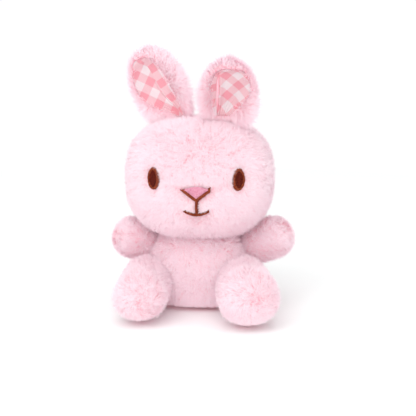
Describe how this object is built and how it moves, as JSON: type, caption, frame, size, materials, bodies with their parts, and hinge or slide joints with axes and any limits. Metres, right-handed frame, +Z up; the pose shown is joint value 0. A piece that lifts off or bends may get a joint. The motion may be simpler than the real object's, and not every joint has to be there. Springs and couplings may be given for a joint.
{
  "type": "stuffed bunny rabbit",
  "caption": "Seated plush bunny with a wide head, gingham-lined ears, stitched face, stub arms and feet out in front; head, ears, arms and legs move.",
  "frame": {"origin": "on the floor, at the middle of the flat seat face under the torso", "axes": "+Z up, -Y the way the face and feet point, +X the bunny's own left"},
  "size_m": [0.1512, 0.1402, 0.2047],
  "materials": {
    "pink_plush": "matte",
    "gingham_cotton": "matte",
    "thread_dark_brown": "satin",
    "thread_brown": "satin",
    "thread_pink": "satin",
    "thread_pale_pink": "matte",
    "polyester_fill": "matte",
    "pouch_cloth": "matte",
    "pellet_plastic": "matte"
  },
  "bodies": {
    "torso": {"pellet_pouch": "pouch_cloth", "pellets": "pellet_plastic", "tail_skin": "pink_plush", "tail_stuffing": "polyester_fill", "torso_back_left_panel": "pink_plush", "torso_back_right_panel": "pink_plush", "torso_belly_panel": "pink_plush", "torso_closing_seam": "thread_pale_pink", "torso_seat_panel": "pink_plush", "torso_stuffing": "polyester_fill"},
    "neck": {"neck_seam": "thread_pale_pink"},
    "head": {"eye_left_border": "thread_brown", "eye_left_fill": "thread_dark_brown", "eye_right_border": "thread_brown", "eye_right_fill": "thread_dark_brown", "head_back_left_panel": "pink_plush", "head_back_right_panel": "pink_plush", "head_face_panel": "pink_plush", "head_stuffing": "polyester_fill", "mouth_line": "thread_brown", "mouth_smile": "thread_brown", "nose_border": "thread_brown", "nose_fill": "thread_pink"},
    "ear_left": {"ear_left_back_panel": "pink_plush", "ear_left_edge_seam": "thread_pale_pink", "ear_left_lining": "gingham_cotton"},
    "ear_right": {"ear_right_back_panel": "pink_plush", "ear_right_edge_seam": "thread_pale_pink", "ear_right_lining": "gingham_cotton"},
    "arm_left": {"arm_left_lower_panel": "pink_plush", "arm_left_stuffing": "polyester_fill", "arm_left_upper_panel": "pink_plush"},
    "arm_right": {"arm_right_lower_panel": "pink_plush", "arm_right_stuffing": "polyester_fill", "arm_right_upper_panel": "pink_plush"},
    "leg_left": {"leg_left_lower_panel": "pink_plush", "leg_left_stuffing": "polyester_fill", "leg_left_upper_panel": "pink_plush"},
    "leg_right": {"leg_right_lower_panel": "pink_plush", "leg_right_stuffing": "polyester_fill", "leg_right_upper_panel": "pink_plush"}
  },
  "joints": [
    {"name": "neck_turn", "type": "hinge", "parent": "torso", "child": "neck", "pos_m": [0, 0.002, 0.047], "axis": [0, 0, 1], "range_deg": [-20, 20], "stiffness_Nm_per_rad": 0.15},
    {"name": "neck_nod", "type": "hinge", "parent": "neck", "child": "head", "pos_m": [0, 0.002, 0.047], "axis": [1, 0, 0], "range_deg": [-8, 8], "stiffness_Nm_per_rad": 1.2},
    {"name": "ear_left_flop", "type": "hinge", "parent": "head", "child": "ear_left", "pos_m": [0.025, -0.007, 0.1436], "axis": [0.9903, 0, -0.1392], "range_deg": [-30, 20], "stiffness_Nm_per_rad": 0.02},
    {"name": "ear_right_flop", "type": "hinge", "parent": "head", "child": "ear_right", "pos_m": [-0.0185, 0, 0.1454], "axis": [0.9336, 0, 0.3584], "range_deg": [-20, 30], "stiffness_Nm_per_rad": 0.02},
    {"name": "arm_left_raise", "type": "hinge", "parent": "torso", "child": "arm_left", "pos_m": [0.038, -0.003, 0.0435], "axis": [0, -1, 0], "range_deg": [-24, 8], "stiffness_Nm_per_rad": 0.05},
    {"name": "arm_right_raise", "type": "hinge", "parent": "torso", "child": "arm_right", "pos_m": [-0.038, -0.003, 0.0435], "axis": [0, 1, 0], "range_deg": [-24, 8], "stiffness_Nm_per_rad": 0.05},
    {"name": "leg_left_lift", "type": "hinge", "parent": "torso", "child": "leg_left", "pos_m": [0.033, -0.024, 0.0212], "axis": [-1, 0, 0], "range_deg": [0, 25], "stiffness_Nm_per_rad": 0.1},
    {"name": "leg_right_lift", "type": "hinge", "parent": "torso", "child": "leg_right", "pos_m": [-0.033, -0.024, 0.0212], "axis": [-1, 0, 0], "range_deg": [0, 25], "stiffness_Nm_per_rad": 0.1}
  ]
}
